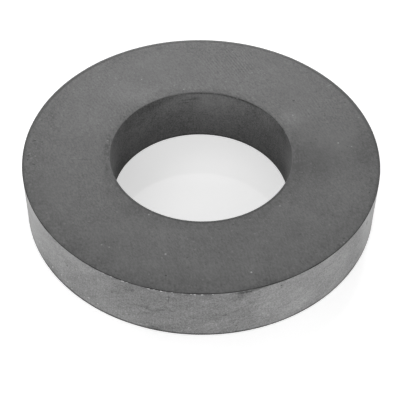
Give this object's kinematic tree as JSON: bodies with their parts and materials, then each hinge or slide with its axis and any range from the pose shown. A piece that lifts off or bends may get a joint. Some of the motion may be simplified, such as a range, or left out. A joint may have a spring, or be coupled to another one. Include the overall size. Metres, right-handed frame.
{
  "type": "ferrite ring magnet",
  "caption": "Thick flat ring of sintered ferrite with a wide central bore, a permanent magnet with one pole on each flat face.",
  "frame": {"origin": "centre of the ring on its lower pole face", "axes": "+Z along the ring's axis, from the lower pole face to the upper one; X and Y lie in the lower pole face"},
  "size_m": [0.127, 0.127, 0.0218],
  "materials": {
    "sintered_ferrite": "satin"
  },
  "bodies": {
    "root": {"ring_magnet": "sintered_ferrite"}
  },
  "joints": []
}
